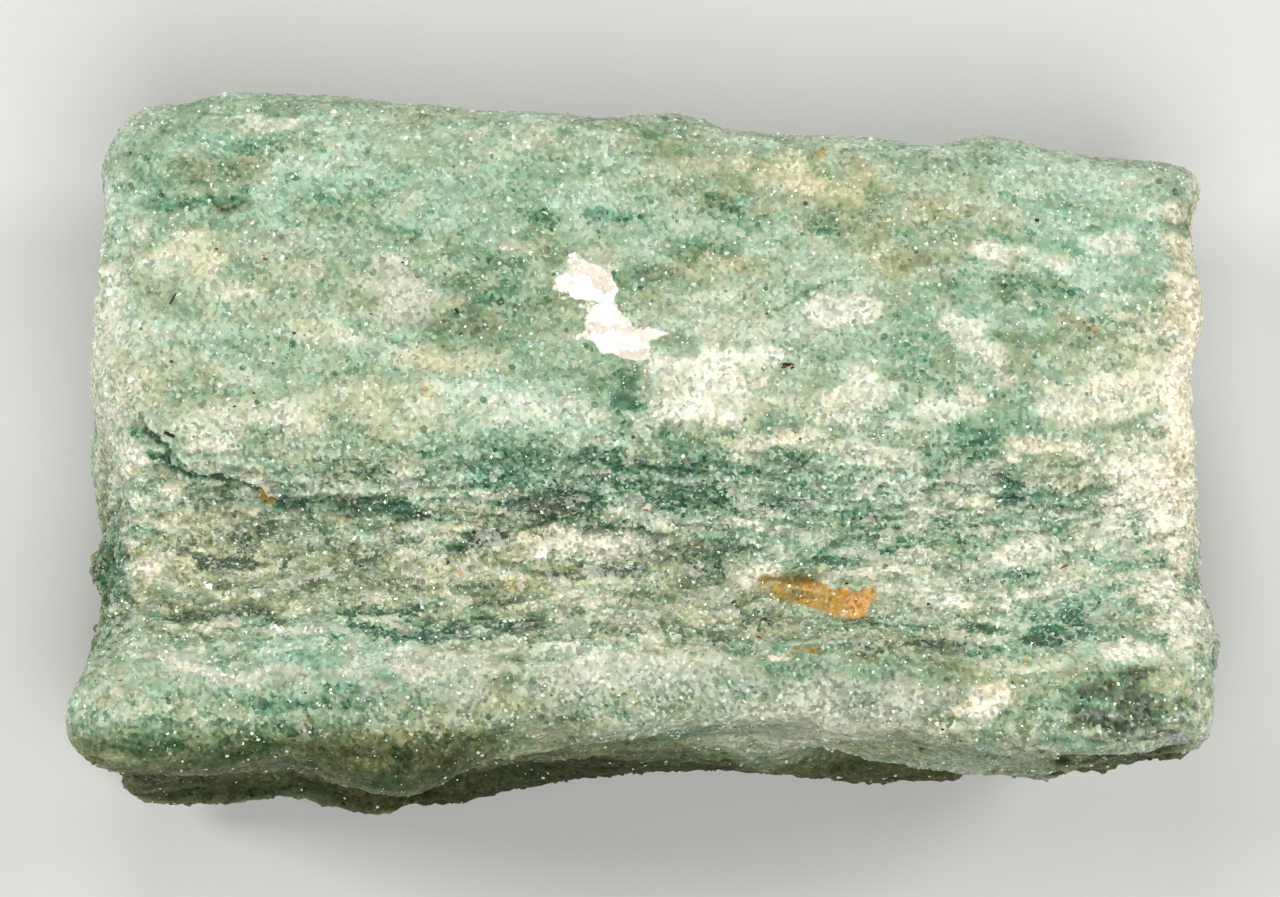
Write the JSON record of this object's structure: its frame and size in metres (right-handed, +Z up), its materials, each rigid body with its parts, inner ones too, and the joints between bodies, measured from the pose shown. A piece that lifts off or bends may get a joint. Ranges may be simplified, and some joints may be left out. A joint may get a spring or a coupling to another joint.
{
  "type": "rough aventurine",
  "caption": "Rough block of green aventurine quartzite with a broad face, a stepped trough and a rounded ridge, resting on a flat spot.",
  "frame": {"origin": "middle of the outline seen from above, at the height of the surface that the stone rests on", "axes": "+X along the longest side, towards the end with the bleached edge; +Y from the ridge to the broad face; +Z up"},
  "size_m": [0.0788, 0.049, 0.028],
  "materials": {
    "green_quartzite": "sugary, broken quartzite with glinting mica flakes"
  },
  "bodies": {
    "root": {"aventurine_stone": "green_quartzite"}
  },
  "joints": []
}
